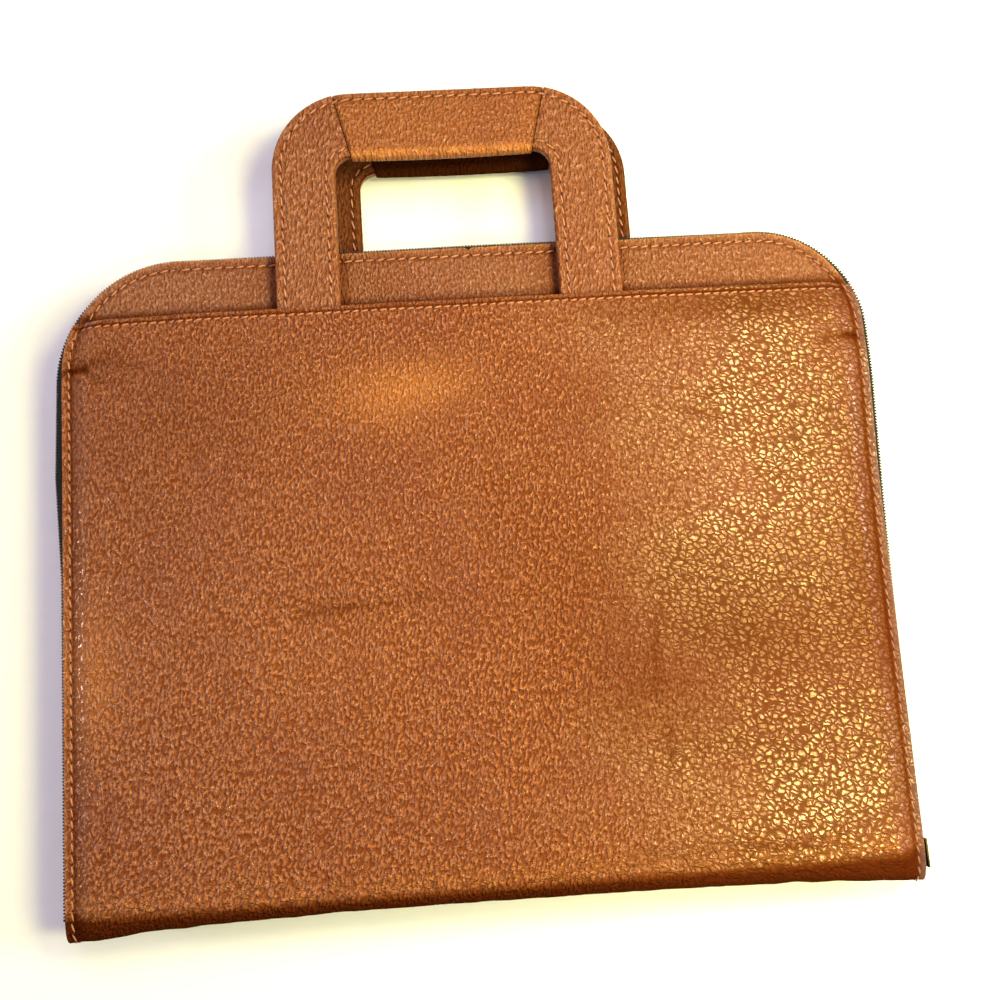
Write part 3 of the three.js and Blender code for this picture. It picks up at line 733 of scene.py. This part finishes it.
cover = {
    "outside": coverHigh.z / mm - 0.3,
    "thickness": bag["leather"] - 0.4,
    "seam": {"inset": 4, "groove": 0.45, "width": 0.9, "roll": 0.9},
    "waves": (0.154, 15, 4),  # height, size across, size along
    "smallWaves": (0.132, 4, 11),
    "patchyWear": (1, 6, 6),
    "nick": (3, 1.8, 1.7),  # x, half width, depth of the nick in the front cover's top edge
    "rows": [0, 0.15, 0.5, 0.9, 1.6, 2.4, 3.2, 4, 4.8, 5.8, 7] + [8.6 + 1.8 * i for i in range(16)],
    # painted shade in the seam's groove, painted shadow under the pocket's lip and rubbed lines: distance, width,
    # amount; painted shadow beside the handles' legs: width, amount
    "seamGrooveShade": ((4, 1.2, 0.5),), "lipShadow": ((2, 2.4, 0.8),), "rubbedAndHighlit": ((0, 1.2, 0.3),), "legShadows": (2.2, 0.6),
    "legEdges": {"frontCoverHide": (-84.3, -54, 41.5, 71.7), "backCoverHide": (-74.8, -44.6, 51, 81.2)},
}


def coverInset(x, y):
    return np.minimum(sideInset(x, y), np.where(np.abs(x) < bag["half"] - cornerAt(x), bag["top"] - y, 1e3))


def coverZ(x, y):
    inset = coverInset(x, y)
    waves = ripple(x, y, cover["waves"], 11) + ripple(x, y, cover["smallWaves"], 12)
    held = np.minimum(np.maximum(inset - 1, 0) / 5, 1)  # no waves at the sewn edge
    return cover["outside"] - sewn(inset, cover["seam"]) + waves * held


def coverStations():  # columns across and rows down the cover, close together at the edge and the nick
    turn = np.linspace(0, math.pi / 2, 30)
    left = bag["cornerLeft"] * (1 - np.cos(turn)) - bag["half"]
    right = bag["half"] - bag["cornerRight"] * (1 - np.cos(turn[::-1]))
    middle = np.linspace(left[-1], right[0], 105)
    nickX, nickHalf, _ = cover["nick"]
    nick = nickX + nickHalf * np.linspace(-1, 1, 5)
    middle = np.concatenate([middle[(middle < nick[0] - 0.5) | (middle > nick[-1] + 0.5)], nick])
    columns = np.concatenate([left[:-1], np.sort(middle), right[1:]])
    far = np.linspace(cover["rows"][-1], bag["top"], 14)[1:]
    return columns, np.concatenate([cover["rows"], far]) / bag["top"]


def makeCover(name, node, front):
    columns, shares = coverStations()
    obj, column, row = newSheet(name, len(columns), len(shares))
    x = columns[column]
    topY = cornerTop(x)
    if front:
        nickX, nickHalf, nickDepth = cover["nick"]
        topY = topY - nickDepth * np.maximum(1 - np.abs(x - nickX) / nickHalf, 0)
    y = topY * (1 - shares[row])
    z = coverZ(x, y)
    moveTo(obj, x, y, z if front else bag["depth"] - z)
    giveMaterials(obj, hideCover, suede, edge)
    facesUp(obj, front)
    thicken(obj, cover["thickness"], -1, inside=1, rim=2)
    smooth(obj)
    x, y, z = places(obj)
    inset = coverInset(x, y)
    # painted shade in the groove, painted shadow under the lip and beside the legs
    shade = lines(inset, cover["seamGrooveShade"]) + lines(y - bag["mouth"], cover["lipShadow"])
    legs = lines(x, [(legEdge, *cover["legShadows"]) for legEdge in cover["legEdges"][name]])
    note(obj, "shade", shade + legs * np.clip((bag["top"] + 4 - y) / 8, 0, 1))
    note(obj, "wearAndHighlight", lines(inset, cover["rubbedAndHighlit"]) * (1 + ripple(x, y, cover["patchyWear"], 13)))
    layFlat(obj, x, y)
    settle(obj, "bag", node)


zipper = {
    "rightEnd": -12,  # lower ends of the zip, past the crease
    "leftEnd": -6,
    "along": (0, 0.12, 0.2, 0.28, 0.36, 0.5, 0.64, 0.7, 0.74, 0.79, 0.84, 1),
    "bulge": (1.8, 3, 4.4, 4.4, 2.2, 2.7, 2, 2.4, 4.8, 5.6, 3.3, 3.2),  # the chain past the leather's edge
    "tapeLevel": 18.1,
    "tapeThickness": 0.8,
    "tapeGap": 0.5,  # half the gap between the tapes below the coil
    "underCoil": 1.2,
    "tuck": 8,
    "pitch": 1.35,
    "tooth": (1.05, 3.3, 1.3),  # along, across, out
    "toothRise": 0.75,
    "toothLean": 0.12,
}
zipper["length"] = (2 * bag["top"] + 2 * bag["half"] - zipper["rightEnd"] - zipper["leftEnd"]
                    - (2 - math.pi / 2) * (bag["cornerLeft"] + bag["cornerRight"]))


def edgeAt(run):  # place on the covers' edge and the way out, by distance from the zip's lower right end
    right = bag["cornerRight"]
    left = bag["cornerLeft"]
    side = bag["top"] - right - zipper["rightEnd"]
    straight = 2 * bag["half"] - right - left
    bends = np.cumsum([side, right * math.pi / 2, straight, left * math.pi / 2])
    turn = np.clip(run - bends[0], 0, bends[1] - bends[0]) / right
    turn = turn + np.clip(run - bends[2], 0, bends[3] - bends[2]) / left
    corner = np.where(run < bends[1], right, left)
    centreX = np.where(run < bends[1], bag["half"] - right, left - bag["half"])
    outX = np.cos(turn)
    outY = np.sin(turn)
    acrossTop = np.clip(bends[2] - run, 0, straight) * (run >= bends[1])
    lift = np.clip(run, 0, side) - side - np.clip(run - bends[3], 0, None)
    return centreX + corner * outX + acrossTop, bag["top"] - corner + lift + corner * outY, outX, outY


def sewCover(name, front):
    x, y, outX, outY = edgeAt(np.linspace(0, zipper["length"], 500))
    shown = y > bag["mouth"] - 1.5
    inset = cover["seam"]["inset"]
    x = (x - inset * outX)[shown]
    y = (y - inset * outY)[shown]
    z = coverZ(x, y)
    points = stack(x, y, z if front else bag["depth"] - z)
    sew(name, [(points, (0, 0, 1 if front else -1))], "bag", thread["coverPitch"])


makeCover("frontCoverHide", "front_cover", True)
makeCover("backCoverHide", "back_cover", False)
sewCover("frontCoverStitches", True)
sewCover("backCoverStitches", False)
print("covers done")


# handles: two layers of hide sewn over a board, thinned where the grip sleeve goes round the bar

handle = {
    "half": 77, "leg": 28.2, "legEnd": 78, "endRadius": 8, "shownFrom": 236,
    "windowTop": 317.3, "outerRadius": 36.5, "innerRadius": 8,
    "thickness": 5, "core": 2.6, "coreLow": 1.9, "coreHigh": 3.8,
    "seam": {"inset": 4, "groove": 0.4, "width": 0.9, "roll": 1.5, "stitchTurn": 82},
    "steps": (0, 0.2, 0.6, 1.1, 1.7, 2.3, 2.9, 3.5, 4.2, 5, 6.2, 8, 10.4),  # rows of the mesh in from an edge
    "waves": (0.12, 9, 9), "seamPuckers": (0.18, 3, 3), "patchyWear": (0.6, 7, 7), "deepest": 1.9,
    # painted shade in the seam's groove and at the edge, and paler lines on the rolled edge: distance in from the edge,
    # width, amount
    "paintedShade": ((4, 0.8, 0.35), (0, 0.5, 0.4)), "rubbedAndHighlit": ((1.1, 0.8, 0.12),), "rearShade": 0.55, "coreShade": 0.8,
    "gripTop": 348.2, "gripLow": 316, "gripHalfTop": 48.5, "gripHalfLow": 40.8, "gap": 0.35,
}
inHalf = handle["half"] - handle["leg"]
# middles of the bow's outer and inner bends
outerBend = np.array([handle["half"], handle["gripTop"]]) - handle["outerRadius"]
innerBend = np.array([inHalf, handle["windowTop"]]) - handle["innerRadius"]
handlePlaces = {}
for side in ("front", "back"):
    low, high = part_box(side + "_handle")
    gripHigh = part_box(side + "_grip")[1]
    handlePlaces[side] = ((low.x + high.x) / 2 / mm - bag["middleX"],
                          gripHigh.y / mm - bag["creaseY"] - handle["gripTop"], (low.z + high.z) / 2 / mm)


def gripHalf(y):
    share = (y - handle["gripLow"]) / (handle["gripTop"] - handle["gripLow"])
    return handle["gripHalfLow"] + share * (handle["gripHalfTop"] - handle["gripHalfLow"])


def handleRows():  # inner and outer end of each row across the right half, from the leg's end to the middle
    half, end, radius, shown = (handle[key] for key in ("half", "legEnd", "endRadius", "shownFrom"))
    rows = []
    for rise in radius * (1 - np.cos(np.linspace(0, math.pi / 2, 6))):
        narrow = radius - math.sqrt(radius ** 2 - (radius - rise) ** 2)
        rows.append(((inHalf + narrow, end + rise), (half - narrow, end + rise)))
    for y in np.linspace(end + radius, shown, 9)[1:]:
        rows.append(((inHalf, y), (half, y)))
    for share in np.linspace(0, 1, 58)[1:]:
        rows.append(((inHalf, shown + share * (innerBend[1] - shown)), (half, shown + share * (outerBend[1] - shown))))
    seamLow = gripHalf(handle["windowTop"]) + handle["gap"]
    seamHigh = gripHalf(handle["gripTop"]) + handle["gap"]
    innerStop = math.acos(np.clip((seamLow - innerBend[0]) / handle["innerRadius"], -1, 1))
    outerStop = math.acos((seamHigh - outerBend[0]) / handle["outerRadius"])
    for share in np.linspace(0, 1, 40)[1:]:
        rows.append((onArc(innerBend, handle["innerRadius"], share * innerStop),
                     onArc(outerBend, handle["outerRadius"], share * outerStop)))
    coreLow = handle["windowTop"] + handle["coreLow"]
    coreHigh = handle["gripTop"] - handle["coreHigh"]
    for share in np.linspace(1, 0, 7):
        rows.append(((gripHalf(coreLow) * share, coreLow), (gripHalf(coreHigh) * share, coreHigh)))
    return np.array(rows)


def handleInset(x, y):  # distance in from the nearest edge of the bow
    outer, inner = (np.hypot(np.maximum(np.abs(x) - bend[0], 0), np.maximum(y - bend[1], 0))
                    for bend in (outerBend, innerBend))
    return np.minimum(handle["outerRadius"] - outer, inner - handle["innerRadius"])


def makeHandle(side):
    shiftX, shiftY, level = handlePlaces[side]
    half = handleRows()
    rows = np.concatenate([half, half[-2::-1] * np.array([-1, 1])])
    near = np.array(handle["steps"]) / handle["leg"]
    shares = np.concatenate([near, [0.5], 1 - near[::-1]])
    obj, column, row = newSheet(side + "HandleHide", len(shares), len(rows))
    ends = rows[row]
    spot = ends[:, 0] + (ends[:, 1] - ends[:, 0]) * shares[column][:, None]
    moveTo(obj, spot[:, 0] + shiftX, spot[:, 1] + shiftY, level)
    giveMaterials(obj, hideHandle, edge)
    facesUp(obj, True)
    thicken(obj, handle["thickness"], 0, inside=0, rim=1)
    x, y, z = places(obj)
    localX = x - shiftX
    localY = y - shiftY
    inset = handleInset(localX, localY)
    core = (np.abs(localX) < gripHalf(localY) + handle["gap"] / 2) & (localY > handle["windowTop"])
    pressed = sewn(np.maximum(inset, 0), handle["seam"]) + ripple(localX, localY, handle["waves"], 21)
    pressed = pressed + ripple(localX, localY, handle["seamPuckers"], 22) * bell(inset - 3.3, 2.5)
    face = handle["thickness"] / 2 - np.minimum(pressed, handle["deepest"])
    moveTo(obj, x, y, level + np.sign(z - level) * np.where(core, handle["core"] / 2, face))
    smooth(obj)
    # painted shade in the groove, at the edge and on the core under the sleeve; the rear handle is painted darker as if
    # in the front one's shadow
    shade = lines(inset, handle["paintedShade"]) + np.where(core, handle["coreShade"], 0)
    note(obj, "shade", shade + handle["rearShade"] * (side == "back"))
    note(obj, "wearAndHighlight", lines(inset, handle["rubbedAndHighlit"]) * (0.7 + ripple(localX, localY, handle["patchyWear"], 23)))
    layFlat(obj, x, y)
    settle(obj, side + "_bow", side + "_handle")


def sewHandle(side):
    shiftX, shiftY, level = handlePlaces[side]
    inset = handle["seam"]["inset"]
    shown = handle["shownFrom"]
    turn = np.linspace(0, math.pi, 90)
    swing = np.where(turn < math.pi / 2, 1, -1) * outerBend[0]
    overTop = onArc((swing, outerBend[1]), handle["outerRadius"] - inset, turn)
    legX = handle["half"] - inset
    outer = np.concatenate([[[legX, shown]], overTop, [[-legX, shown]]])
    radius = handle["innerRadius"] + inset
    turn = np.linspace(0, math.radians(handle["seam"]["stitchTurn"]), 24)
    inner = np.concatenate([[[innerBend[0] + radius, shown]], onArc(innerBend, radius, turn)])
    seams = []
    for up in (1, -1):
        for line in (outer, inner, inner * np.array([-1, 1])):
            # on the bar the stitches sit on the thicker sleeve
            onGrip = (np.abs(line[:, 0]) < gripHalf(line[:, 1])) & (line[:, 1] > handle["windowTop"])
            lift = np.where(onGrip, grip["thickness"] / 2 - grip["pinch"],
                            handle["thickness"] / 2 - handle["seam"]["groove"])
            seams.append((stack(line[:, 0] + shiftX, line[:, 1] + shiftY, level + up * lift), (0, 0, up)))
    sew(side + "HandleStitches", seams, side + "_bow", thread["handlePitch"])


# grip: a sleeve folded under the bar and sewn along its top with the handle

grip = {
    "thickness": 6.4, "wall": 1.3, "fold": 3.2, "topRound": 2.2, "pinch": 0.55, "sag": 0.7, "columns": 64, "rows": 44,
    "lumps": (0.03, 11, 7), "smallLumps": (0.0144, 4, 3), "patchyWear": (0.5, 8, 5), "rearShade": 0.95, "swell": 0.04,
    "endRoll": (0.12, 0.012),  # share of the thickness, share of the half length
    # painted shade under the top seam and at the ends, and a painted highlight along the lower fold: distance, width,
    # amount
    "topSeamShade": ((4, 1, 0.45),), "endShade": ((0, 0.7, 0.5),), "rubbedAndHighlit": ((1.5, 2, 0.5),),
}


def gripSection():  # height and half thickness down the front of the sleeve, from its top to its fold
    turn = np.linspace(0, math.pi, grip["rows"])
    drop = 0.45 * (1 - np.cos(turn)) / 2 + 0.55 * turn / math.pi  # rows closer together at both ends
    fromTop = drop * (handle["gripTop"] - handle["gripLow"])
    y = handle["gripTop"] - fromTop
    z = grip["thickness"] / 2 - lines(fromTop, ((handle["seam"]["inset"], 1.1, grip["pinch"]), (0, 3, 0.3)))
    upper = np.clip(1 - fromTop / grip["topRound"], 0, 1)
    lower = np.clip(1 - (y - handle["gripLow"]) / grip["fold"], 0, 1)
    return y, z * np.sqrt(1 - upper ** 2) * np.sqrt(1 - lower ** 2)


def makeGrip(side):
    shiftX, shiftY, level = handlePlaces[side]
    y, z = gripSection()
    loopY = np.concatenate([y, y[-2::-1]])
    loopZ = np.concatenate([z, -z[-2::-1]])
    obj, column, row = newSheet(side + "GripHide", grip["columns"], len(loopY))
    across = np.linspace(-1, 1, grip["columns"])[column]
    localY = loopY[row]
    x = across * gripHalf(localY)
    lowShare = np.clip((handle["gripTop"] - localY) / (handle["gripTop"] - handle["gripLow"]), 0, 1)
    arcX = np.maximum(np.abs(x) - outerBend[0], 0)
    drop = handle["outerRadius"] - np.sqrt(handle["outerRadius"] ** 2 - arcX ** 2)
    inMiddle = 1 - across ** 2
    lumps = ripple(x, localY, grip["lumps"], 31) + ripple(x, localY, grip["smallLumps"], 32)
    swell = 1 + grip["swell"] * lowShare * inMiddle + lumps
    sag = grip["sag"] * lowShare ** 3 * inMiddle
    depth, width = grip["endRoll"]
    endRoll = 1 - depth * bell(1 - np.abs(across), width)
    moveTo(obj, x + shiftX, localY + shiftY - drop * (1 - lowShare) - sag, level + loopZ[row] * swell * endRoll)
    pick(obj)
    editMode(True)
    bpy.ops.mesh.select_all(action="SELECT")
    bpy.ops.mesh.remove_doubles(threshold=0.01 * mm)
    bpy.ops.mesh.normals_make_consistent(inside=False)
    editMode(False)
    giveMaterials(obj, hideGrip, suede, edge)
    thicken(obj, grip["wall"], -1, inside=1, rim=2)
    smooth(obj)
    x, y, z = places(obj)
    localX = x - shiftX
    localY = y - shiftY
    fromEnd = gripHalf(localY) - np.abs(localX)
    fromLow = localY - handle["gripLow"]
    # painted shade under the top seam and at the ends; the rear grip painted dark as if in the front handle's shadow; a
    # painted highlight along the lower fold
    shade = lines(handle["gripTop"] - localY, grip["topSeamShade"]) + lines(fromEnd, grip["endShade"])
    note(obj, "shade", shade + grip["rearShade"] * (side == "back"))
    note(obj, "wearAndHighlight", lines(fromLow, grip["rubbedAndHighlit"]) * (0.8 + ripple(localX, localY, grip["patchyWear"], 33)))
    layFlat(obj, localX, handle["gripLow"] + np.sign(z - level) * fromLow)
    settle(obj, side + "_bow", side + "_grip")


for side in ("front", "back"):
    makeHandle(side)
    makeGrip(side)
    sewHandle(side)
print("handles and grips done")


# zip: two tapes that curl in from under the covers and meet below the coil

def zipBulge(run):
    return np.interp(run / zipper["length"], zipper["along"], zipper["bulge"])


def makeTape(name, node, front):
    run = np.linspace(0, zipper["length"], 300)
    x, y, outX, outY = edgeAt(run)
    tuck = np.array([-zipper["tuck"], -zipper["tuck"] / 2])
    curl = np.concatenate([[0, 0], np.linspace(0, math.pi / 2, 9)])  # flat under the cover, then a quarter turn
    flat = np.concatenate([tuck, np.zeros(len(curl) - len(tuck))])
    obj, column, row = newSheet(name, len(curl), len(run))
    reach = flat[column] + np.sin(curl)[column] * (zipBulge(run)[row] - zipper["underCoil"])
    fall = (1 - np.cos(curl))[column]
    level = zipper["tapeLevel"] - fall * (zipper["tapeLevel"] - midZ - zipper["tapeGap"])
    height = level if front else bag["depth"] - level
    moveTo(obj, x[row] + outX[row] * reach, y[row] + outY[row] * reach, height)
    giveMaterials(obj, tapeBlack)
    facesUp(obj, front)
    thicken(obj, zipper["tapeThickness"], 0)
    smooth(obj)
    settle(obj, "bag", node)


def makeCoil():
    tooth = ballShape(5, zipper["tooth"], "X")
    parts = []
    count = int(zipper["length"] / zipper["pitch"])
    lean = zipper["toothLean"]
    for step, rise in ((0.25, zipper["toothRise"]), (0.75, -zipper["toothRise"])):
        run = (np.arange(count) + step) * zipper["length"] / count
        x, y, outX, outY = edgeAt(run)
        reach = zipBulge(run) - zipper["tooth"][2] / 2
        centre = stack(x + outX * reach, y + outY * reach, midZ + rise)
        out = stack(outX, outY, 0)
        up = np.tile(np.array([0.0, 0.0, 1.0]), (count, 1))
        along = np.cross(up, out)
        parts.append((tooth, centre, unit(along + lean * up), unit(up - lean * along), out, 0))
    obj = copies("zipCoil", parts, (coilBlack,))
    settle(obj, "bag", "zip_chain")


slider = {
    "bodyHigh": 8, "bodyShare": 0.56, "bodyBevel": 0.45, "saddle": (2.3, 0.6), "saddleScale": (0.3, 1, 0.8),
    "pullWide": 5, "pullShare": 0.5, "pullUp": 0.5, "pullInset": 1.1, "pullSunk": 0.25, "pullBevel": 0.3,
}


def makeSlider():
    low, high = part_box("zip_slider")
    middle = (low + high) / 2
    deep = high.x - low.x
    bodyHigh = slider["bodyHigh"] * mm
    bodyDeep = deep * slider["bodyShare"]
    bodyZ = high.z - bodyHigh / 2
    # body: a bevelled plate with a raised saddle
    selectNothing()
    bpy.ops.mesh.primitive_cube_add(size=1, location=(low.x + bodyDeep / 2, middle.y, bodyZ),
                                    scale=(bodyDeep, high.y - low.y, bodyHigh))
    body = active("sliderBody")
    editMode(True)
    bpy.ops.mesh.select_all(action="SELECT")
    bpy.ops.mesh.bevel(offset=slider["bodyBevel"] * mm, segments=3, affect="EDGES")
    editMode(False)
    selectNothing()
    major, minor = slider["saddle"]
    bpy.ops.mesh.primitive_torus_add(location=(low.x + deep * 0.5, middle.y, bodyZ), major_radius=major * mm,
                                     minor_radius=minor * mm, major_segments=24, minor_segments=8)
    saddle = active("sliderSaddle")
    saddle.scale = slider["saddleScale"]
    bpy.ops.object.transform_apply(location=True, rotation=True, scale=True)
    # pull: a tab that hangs down, with a sunk face on both sides
    pullTop = bodyZ + slider["pullUp"] * mm
    selectNothing()
    pullDeep = deep * slider["pullShare"]
    bpy.ops.mesh.primitive_cube_add(size=1, location=(high.x - pullDeep / 2, middle.y, (pullTop + low.z) / 2),
                                    scale=(pullDeep, slider["pullWide"] * mm, pullTop - low.z))
    pull = active("sliderPull")
    for face in pull.data.polygons:
        face.select = abs(face.normal.x) > 0.9
    editMode(True)
    bpy.ops.mesh.select_mode(type="FACE")
    bpy.ops.mesh.inset(thickness=slider["pullInset"] * mm)
    bpy.ops.transform.shrink_fatten(value=-slider["pullSunk"] * mm)
    editMode(False)
    corners = pull.modifiers.new("corners", "BEVEL")
    corners.width = slider["pullBevel"] * mm
    corners.segments = 2
    applyModifiers(pull)
    selectNothing()
    for part in (saddle, pull, body):
        part.select_set(True)
    bpy.context.view_layer.objects.active = body
    bpy.ops.object.join()
    obj = active("zipSliderMetal")
    pick(obj)
    bpy.ops.object.transform_apply(location=True, rotation=True, scale=True)
    obj.data.materials.clear()
    giveMaterials(obj, nickel)
    smooth(obj, 35)
    settle(obj, "bag", "zip_slider")


makeTape("frontZipTape", "zip_tape_front", True)
makeTape("backZipTape", "zip_tape_back", False)
makeCoil()
makeSlider()
print("zip done")


# floor, lights and the camera

studio = {
    "floor": 6,
    "cameraPlace": (-11.03, 95.2, 453.47),
    "right": (0.99698, -0.06807, 0.0375),
    "up": (0.062, 0.98757, 0.1444),
    "back": (-0.04686, -0.14164, 0.98881),
    "lens": 36,
    "sensor": 36,
    "sky": 0.2,
    "skyColour": "#FFF5E8",
    # name, place in mm, aims at in mm, size in mm, watts, colour
    "lights": (
        ("warmLampHigh", (260, 284, 449), (125, 190, 30), (210, 190), 3.3, "#FFF09A"),
        ("warmLampLow", (300, -50, 449), (150, 24, 30), (200, 160), 3.4, "#FFEE90"),
        ("warmGlow", (-63, 373, 707), (-31, 202, 30), (220, 220), 0.6, "#FF9A40"),
        ("softTop", (0, 767, 900), (0, 167, 30), (700, 500), 3.6, "#ECEAF6"),
        ("keyRight", (2200, 350, 1100), (0, 140, 30), (700, 700), 34, "#FBF6F4"),
        ("sideWindow", (-1400, 150, 330), (-170, 120, 25), (260, 240), 10, "#F6E4E4"),
        ("coolWindow", (-420, 167, 800), (-120, 167, 30), (500, 900), 1.2, "#F6DCDA"),
    ),
}


def fromBag(place):  # a place in the bag's own millimetres, in the frame
    return [(v + shift) * mm for v, shift in zip(place, (bag["middleX"], bag["creaseY"], 0))]


selectNothing()
bpy.ops.mesh.primitive_plane_add(size=studio["floor"])
floor = active("studioFloor")
giveMaterials(floor, paper)

for name, place, aim, size, watts, colour in studio["lights"]:
    bpy.ops.object.light_add(type="AREA", location=fromBag(place))
    light = active(name)
    light.data.shape = "RECTANGLE"
    light.data.size = size[0] * mm
    light.data.size_y = size[1] * mm
    light.data.energy = watts
    light.data.color = paint(colour)[:3]
    back = unit(np.array(place, float) - np.array(aim, float))
    right = unit(np.cross((0.0, 1.0, 0.0), back))
    light.rotation_euler = Matrix((right, np.cross(back, right), back)).transposed().to_euler()

world = bpy.data.worlds.new("studioSky")
bpy.context.scene.world = world
world.use_nodes = True
sky = world.node_tree.nodes["Background"]
sky.inputs["Color"].default_value = paint(studio["skyColour"])
sky.inputs["Strength"].default_value = studio["sky"]
bpy.context.scene.view_settings.view_transform = "Standard"

axes = Matrix((studio["right"], studio["up"], studio["back"])).transposed()
bpy.ops.object.camera_add(location=fromBag(studio["cameraPlace"]), rotation=axes.to_euler())
camera = active("photoCamera")
camera.data.lens = studio["lens"]
camera.data.sensor_width = studio["sensor"]
bpy.context.scene.camera = camera
print("studio ready")
